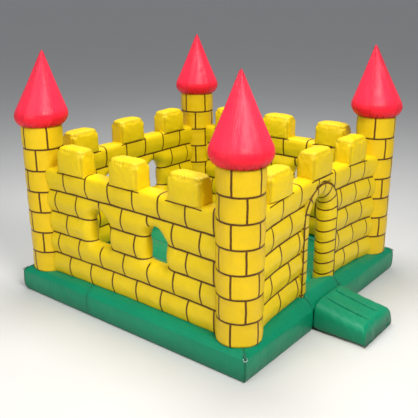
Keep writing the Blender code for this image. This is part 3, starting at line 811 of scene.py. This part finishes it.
def make_merlons(look):
    """Twelve pillows sewn onto the walls' crests, all blown up from the same cut."""
    low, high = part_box("merlon_right_2")
    a, b = (high.y - low.y) / 2 - 0.020, (high.x - low.x) / 2 - 0.008
    height = high.z - low.z + MERLON_SINK - 0.015
    mesh = block_mesh((2 * a, 2 * b, height), MERLON_CELL)
    cut = np.array([v.co for v in mesh.vertices])
    nx, ny, nz = cut[:, 0] / a, cut[:, 1] / b, cut[:, 2] / height
    below_top = 1 - np.clip((nz - 0.35) / 0.65, 0, 1) ** 4
    crowned = cut.copy()
    crowned[:, 0] += 0.020 * nx**3 * (1 - ny**4) * below_top
    crowned[:, 1] += 0.034 * ny**3 * (1 - nx**4) * below_top
    crowned[:, 2] += 0.030 * nz**3 * (1 - nx**4) * (1 - ny**4)
    gaps = np.stack([a - np.abs(cut[:, 0]), b - np.abs(cut[:, 1]), height - cut[:, 2]], -1)
    corner = np.linalg.norm(gaps, axis=1)
    dimple = 0.027 * np.exp(-((corner / 0.055) ** 2))
    crowned -= dimple[:, None] * np.stack([np.sign(nx), np.sign(ny), np.ones(len(nx))], -1)
    crowned = relaxed(crowned, [list(p.vertices) for p in mesh.polygons], 6)
    mesh.vertices.foreach_set("co", crowned.astype(np.float32).ravel())
    points, quads = inflate(mesh, held_below=0.03, pressure=4.0, cap=0.009)
    tucked = np.clip((MERLON_SINK - 0.012 - points[:, 2]) / 0.03, 0, 1)
    points[:, 1] = np.sign(points[:, 1]) * np.minimum(np.abs(points[:, 1]), b + 0.05 - tucked * 0.10)
    seam = np.sort(np.maximum(gaps, 0), axis=1)[:, 1]
    for side in SIDES:
        for number in (1, 2, 3):
            centre = (number - 2) * MERLON_SPACING + MERLON_SHIFT[side]
            flip = -1 if number == 2 else 1
            along = centre + points[:, 0] * flip
            out = plane(side, centre) + points[:, 1] * flip
            up = low.z - MERLON_SINK + points[:, 2] + bow(side, centre)
            placed = to_world(side, along, out, up)
            uv = np.stack([cut[:, 0] + cut[:, 1], cut[:, 2] + cut[:, 1] * 0.5], -1)
            name = f"merlon_{side}_{number}"
            piece = make_piece(name, placed, quads, look, uv, seam)
            ruffle(piece, 0.0022, 0.25, 40 + 3 * SIDES.index(side) + number)
            divide = piece.modifiers.new("smooth", "SUBSURF")
            divide.levels = divide.render_levels = 1


# ---------------------------------------------------------------- base, floor and ramp


def border_profile(height):
    """Cross-section of a border tube as inset from the outer face and height, from the ground up and over."""
    shape = [(0.035, 0.0), (0.010, 0.05), (0.0, 0.13), (0.0, 0.27), (0.004, 0.350), (0.0135, 0.3835)]
    shape += [(0.045, 0.415), (0.0765, 0.4465), (0.13, 0.464), (0.20, 0.470), (0.30, 0.472), (0.42, 0.462)]
    shape += [(0.51, 0.448), (BASE_HALF - BASE_INNER - 0.002, 0.42)]
    line = smooth_line(shape, 6)
    line[:, 1] *= height / PROFILE_HEIGHT
    return line


def make_border(name, side, start, end, look, height=BASE_TOP, seams=(), pinch=0.0):
    """One tube of the base, for the node of its name. An end of None is mitred into the corner."""
    line = border_profile(height)
    length = arc_length(line)
    tau = np.linspace(-1, 1, 141)
    share = 0.55 * tau + 0.45 * np.sin(tau * math.pi / 2)
    inset = line[:, 0]
    reach = BASE_HALF - inset
    first = -reach if start is None else np.full(len(reach), start)
    last = reach if end is None else np.full(len(reach), end)
    along = first[:, None] + (share[None, :] + 1) / 2 * (last - first)[:, None]
    dip = np.zeros(along.shape)
    seam = np.full(along.shape, 9.0)
    for is_mitred, edge in ((start is None, first), (end is None, last)):
        gap = np.abs(along - edge[:, None]) * (0.7 if is_mitred else 1.0)
        seam = np.minimum(seam, gap)
        dip += (0.004 if is_mitred else 0.016 + pinch) * np.exp(-((gap / (0.035 + pinch)) ** 1.3))
    for place in seams:
        gap = np.abs(along - place)
        seam = np.minimum(seam, gap)
        dip += 0.008 * np.exp(-((gap / 0.03) ** 1.5))
    seam = np.minimum(seam, length[:, None] + 0.01)
    tangent = np.gradient(line, axis=0)
    normal = np.stack([-tangent[:, 1], tangent[:, 0]], -1)
    normal /= np.linalg.norm(normal, axis=1, keepdims=True)
    grounded = np.clip(line[:, 1] / 0.06, 0, 1)
    inner = FRONT_SWELL_WIDTH if side == "front" else SWELL_WIDTH
    swollen = np.exp(-(((inset - SWELL_INSET) / np.where(inset < SWELL_INSET, SWELL_WIDTH, inner)) ** 2))
    swollen = swollen * np.clip((line[:, 1] - 0.3) / 0.1, 0, 1)
    most = SWELL.get(name, OTHER_SWELL)
    swell = most * swollen[:, None] * np.clip(1 - (along / SWELL_HALF_SPAN) ** 2, 0, 1)
    out = reach[:, None] + dip * normal[:, :1] * grounded[:, None]
    up = line[:, 1:] - dip * normal[:, 1:] * grounded[:, None] + swell
    points = to_world(side, along, out, np.maximum(up, 0.0))
    rows, columns = along.shape
    under = to_world(side, along[-1:], out[-1:], np.zeros((1, columns)))
    points = np.concatenate([points, under]).reshape(-1, 3)
    faces = grid_faces(rows + 1, columns)
    bottom = rows * columns
    faces += [[j, j + 1, bottom + j + 1, bottom + j] for j in range(columns - 1)]
    for j in (0, columns - 1):
        faces.append([i * columns + j for i in range(rows + 1)])
    v = np.broadcast_to(length[:, None], along.shape)
    uv = np.stack([along.ravel(), v.ravel()], -1)
    uv = np.concatenate([uv, uv[-columns:]])
    seam = np.concatenate([seam.ravel(), seam.ravel()[-columns:]])
    piece = make_piece(name, points, faces, look, uv, seam)
    return piece


def make_floor(look):
    """The bounce floor: long tubes side by side, held down along each groove by a web inside."""
    reach = BASE_INNER - 0.003
    pitch = 2 * reach / FLOOR_CHANNELS
    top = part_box("bounce_floor")[1].z
    x = np.linspace(-reach, reach, FLOOR_CHANNELS * 22 + 1)
    y = np.linspace(-reach, reach, 91)
    lobe = np.abs(np.sin(math.pi * (x + reach) / pitch))
    height = top + 0.006 - FLOOR_GROOVE * (1 - lobe**0.45)
    rounded = np.clip((reach - np.abs(y)) / 0.16, 0, 1)
    fall = 0.05 * (1 - np.sqrt(1 - (1 - rounded) ** 2))
    z = height[None, :] - fall[:, None]
    grid_x, grid_y = np.meshgrid(x, y)
    points = np.stack([grid_x, grid_y, z], -1).reshape(-1, 3)
    rows, columns = z.shape
    faces = grid_faces(rows, columns)
    rim = list(range(columns)) + [i * columns + columns - 1 for i in range(1, rows)]
    rim += [(rows - 1) * columns + j for j in range(columns - 2, -1, -1)]
    rim += [i * columns for i in range(rows - 2, 0, -1)]
    foot = points[rim].copy()
    foot[:, 2] = 0.001
    start = len(points)
    points = np.concatenate([points, foot])
    for k in range(len(rim)):
        n = (k + 1) % len(rim)
        faces.append([rim[k], rim[n], start + n, start + k])
    faces.append(list(range(start, start + len(rim))))
    near = np.abs((x + reach) / pitch - np.round((x + reach) / pitch)) * pitch
    seam = np.broadcast_to(near, z.shape).ravel()
    uv = np.stack([grid_y.ravel(), grid_x.ravel()], -1)
    uv, seam = np.concatenate([uv, uv[rim]]), np.concatenate([seam, seam[rim]])
    floor = make_piece("bounce_floor", points, faces, look, uv, seam)
    ruffle(floor, 0.004, 0.5, 61)
    return floor


def make_ramp(look):
    """The entrance ramp: a low bolster with two grooves that stop short of its rounded front."""
    low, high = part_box("entrance_ramp")
    length = high.y - low.y
    half = (high.x - low.x) / 2
    centre = (high.x + low.x) / 2
    front = RAMP_FRONT + (1 - RAMP_FRONT) * np.sin(np.linspace(0, math.pi / 2, 14)[1:])
    run = np.concatenate([np.linspace(0, RAMP_FRONT, 60), front])
    even = np.linspace(0, math.tau, 160, endpoint=False)
    top = np.linspace(-0.8, 0.8, 97)
    fine = np.arccos(np.sign(top) * np.abs(top) ** (1 / RAMP_POWER))
    coarse = even[(np.abs(np.cos(even)) ** RAMP_POWER > 0.8) | (np.sin(even) < 0)]
    turn = np.sort(np.concatenate([coarse, fine]))
    rings, cloth, seams = [], [], []
    for share in run:
        crown = 0.505 - 0.170 * share - 0.02 * math.sin(share * math.pi)
        tail = math.sqrt(max(0.0, 1 - max(0.0, (share - RAMP_FRONT) / (1 - RAMP_FRONT)) ** 2))
        wide = half * (0.985 + 0.015 * math.cos(share * 2))
        tall = crown * (0.30 + 0.70 * tail)
        c, s = np.cos(turn), np.sin(turn)
        x = wide * np.sign(c) * np.abs(c) ** RAMP_POWER
        z = tall / 2 * (1 + np.sign(s) * np.abs(s) ** np.where(s > 0, 0.50, 0.30))
        fade = min(1.0, max(0.0, (share - 0.03) / 0.04)) * min(1.0, max(0.0, (0.88 - share) / 0.05))
        for groove in RAMP_GROOVES:
            cut = RAMP_GROOVE_DEPTH * fade * np.exp(-(((x - groove) / RAMP_GROOVE_WIDTH) ** 2))
            z -= np.where(s > 0, cut, 0.0)
        y = high.y - share * length
        rings.append(np.stack([centre + x, np.full(len(x), y), np.maximum(z, 0.0)], -1))
        cloth.append(np.stack([x, np.full(len(x), share * length)], -1))
        near = np.min([np.abs(x - groove) for groove in RAMP_GROOVES], axis=0) + (1 - fade) * 0.2
        seams.append(np.minimum(near, np.minimum(share, 1 - share) * length + 0.01))
    points = np.concatenate(rings)
    faces = grid_faces(len(rings), len(turn), ring=True)
    faces += end_faces(points, len(turn))
    uv = np.concatenate(cloth)[:, ::-1]
    seam = np.concatenate(seams)
    ramp = make_piece("entrance_ramp", points, faces, look, uv, seam)
    ruffle(ramp, 0.003, 0.25, 71)
    return ramp


def make_sleeve(look):
    """The limp sleeve at the rear that a blower's tube is tied into."""
    low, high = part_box("blower_sleeve")
    centre = (low.x + high.x) / 2
    run = np.linspace(0, 1, 61)
    turn = np.linspace(0, math.tau, 96, endpoint=False)
    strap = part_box("sleeve_strap")
    tied = ((strap[0].y + strap[1].y) / 2 - low.y) / (high.y - low.y)
    rings, cloth, seams = [], [], []
    for share in run:
        middle = 0.22 - 0.049 * min(1.0, share * 2)
        fold = 0.004 * np.sin(turn * 7 + share * 9) + 0.003 * np.sin(turn * 12 - share * 14 + 1)
        crease = 0.006 * math.sin(share * 40) * np.sin(turn * 2 + 1) * (0.3 + share)
        near_strap = math.exp(-(((share - tied) / 0.06) ** 2))
        r = SLEEVE_RADIUS + (fold + crease) * (1 - near_strap)
        x = centre + r * np.cos(turn)
        z = np.maximum(middle + r * np.sin(turn), 0.002)
        rings.append(np.stack([x, np.full(len(turn), low.y + share * (high.y - low.y)), z], -1))
        cloth.append(np.stack([turn * SLEEVE_RADIUS, np.full(len(turn), share * 0.8)], -1))
        seams.append(np.full(len(turn), min(share, 1 - share) * 0.8))
    points, uv, seam = np.concatenate(rings), np.concatenate(cloth), np.concatenate(seams)
    faces = grid_faces(len(rings), len(turn), ring=True)
    around = math.tau * SLEEVE_RADIUS
    sleeve = make_piece("blower_sleeve", points, faces, look, uv, seam, period=around)
    skin = sleeve.modifiers.new("skin", "SOLIDIFY")
    skin.thickness = 0.0015
    skin.offset = -1.0
    return sleeve


# ---------------------------------------------------------------- stage


def make_camera():
    yaw, pitch, roll = CAMERA_TURN
    forward = Vector((math.cos(yaw) * math.cos(pitch), math.sin(yaw) * math.cos(pitch), -math.sin(pitch)))
    level = forward.cross(Vector((0, 0, 1))).normalized()
    above = level.cross(forward)
    right = level * math.cos(roll) + above * math.sin(roll)
    up = above * math.cos(roll) - level * math.sin(roll)
    camera = bpy.data.objects.new("camera", bpy.data.cameras.new("camera"))
    camera.data.sensor_width = 36.0
    camera.data.lens = CAMERA_LENS
    camera.data.clip_end = 2000.0
    turn = Matrix((right, up, -forward)).transposed().to_4x4()
    camera.matrix_world = Matrix.Translation(CAMERA_PLACE) @ turn
    bpy.context.scene.collection.objects.link(camera)
    bpy.context.scene.camera = camera


def add_light(name, place, target, size, power, colour=(1, 1, 1)):
    light = bpy.data.objects.new(name, bpy.data.lights.new(name, "AREA"))
    light.data.shape = "DISK"
    light.data.size = size
    light.data.energy = power
    light.data.color = colour
    light.location = place
    light.rotation_mode = "QUATERNION"
    light.rotation_quaternion = (Vector(target) - Vector(place)).to_track_quat("-Z", "Y")
    bpy.context.scene.collection.objects.link(light)


def make_stage():
    mesh = bpy.data.meshes.new("floor")
    edit = bmesh.new()
    bmesh.ops.create_grid(edit, x_segments=8, y_segments=8, size=STAGE_HALF)
    edit.to_mesh(mesh)
    edit.free()
    floor = bpy.data.objects.new("studio_floor", mesh)
    floor.location.z = -0.002
    bpy.context.scene.collection.objects.link(floor)
    g = Graph("studio_floor")
    shade = g.noise(g.point(), 0.4, 2.0)
    g.out(g.mix(shade, (0.62, 0.62, 0.61), (0.66, 0.66, 0.65)), "Base Color")
    g.shader.inputs["Roughness"].default_value = 0.8
    mesh.materials.append(g.material)
    world = bpy.context.scene.world or bpy.data.worlds.new("world")
    bpy.context.scene.world = world
    world.use_nodes = True
    background = world.node_tree.nodes["Background"]
    background.inputs["Color"].default_value = (0.92, 0.95, 1.0, 1.0)
    background.inputs["Strength"].default_value = 0.30
    bpy.context.scene.view_settings.view_transform = "Standard"
    add_light("key", (-5.0, -9.0, 12.0), (0, 0, 1.0), 5.0, 1600, (1.0, 0.98, 0.94))
    add_light("top", (1.0, 1.0, 13.0), (0, 0, 1.0), 7.0, 1150)
    add_light("fill", (-12.0, 1.0, 7.0), (0, 0, 1.2), 6.0, 420, (0.97, 0.98, 1.0))


def dress_kept_nodes():
    """Materials for the frame's own hard and small pieces."""
    tape = webbing("green_webbing_weave", (0.010, 0.150, 0.085))
    steel = plated_steel("zinc_plated_steel")
    zipper = zip_tape("zip_coils")
    lining = coated_cloth("baffle_cloth_white", (0.70, 0.70, 0.68))
    looks = {"anchor_tab": tape, "sleeve_strap": tape, "anchor_ring": steel, "zip_slider": steel}
    looks |= {"deflation_zip": zipper, "floor_baffle": lining}
    for name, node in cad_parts.items():
        for start, look in looks.items():
            if name.startswith(start):
                for slot in node.material_slots:
                    slot.material = look


def build():
    course = (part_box("tower_front_left")[1].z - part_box("tower_front_left")[0].z) / TOWER_COURSES
    tower_brick = math.tau * TOWER_RADIUS / TOWER_BRICKS
    tower_cloth = coated_cloth("tower_cloth", TOWER_YELLOW, bricks(course, tower_brick, TOWER_COURSES))
    roof_cloth = coated_cloth("roof_cloth", RED, foot_shade=PAINTED_SHADE_RED)
    merlon_cloth = coated_cloth("merlon_cloth", YELLOW)
    green_cloth = coated_cloth("green_cloth", GREEN, ground_shaded=True)
    for label, sx, sy in CORNERS:
        make_tower(label, sx, sy, tower_cloth)
        make_roof(label, sx, sy, roof_cloth)

    windows = [(sign * WINDOW_CENTRE, WINDOW_HALF, WINDOW_SILL, WINDOW_SPRING) for sign in (-1, 1)]
    doorway = [(DOOR_X, ARCH_OUTER - 0.012, DOORWAY_FOOT, ARCH_SPRING - bow("front", DOOR_X))]
    for side in SIDES:
        offset = 0.03 if side == "front" else 0.045
        print_lines = bricks(ROW_HEIGHT, WALL_BRICK, WALL_ROWS, offset + WALL_BRICK / 2, MERLON_SHIFT[side])
        wall_cloth = coated_cloth(f"wall_cloth_{side}", YELLOW, print_lines)
        if side == "front":
            make_wall(side, doorway, DOORWAY_LIP, wall_cloth)
        else:
            make_wall(side, windows, WALL_HALF_FULL, wall_cloth)
    make_door_arch(lambda section: coated_cloth("arch_cloth", YELLOW, arch_courses(section)))
    make_merlons(merlon_cloth)

    left_end, right_end = DOOR_X - SILL_HALF, DOOR_X + SILL_HALF
    make_border("base_left", "left", None, None, green_cloth, seams=(0.80,))
    make_border("base_right", "right", None, None, green_cloth, seams=(0.80,))
    make_border("base_back", "back", None, None, green_cloth, seams=(-0.80,))
    make_border("base_front_left", "front", None, left_end, green_cloth)
    make_border("base_front_right", "front", right_end, None, green_cloth)
    make_border("door_sill", "front", left_end, right_end, green_cloth, height=SILL_TOP, pinch=0.02)
    make_floor(green_cloth)
    make_ramp(green_cloth)
    make_sleeve(green_cloth)
    dress_kept_nodes()


make_camera()
make_stage()
build()
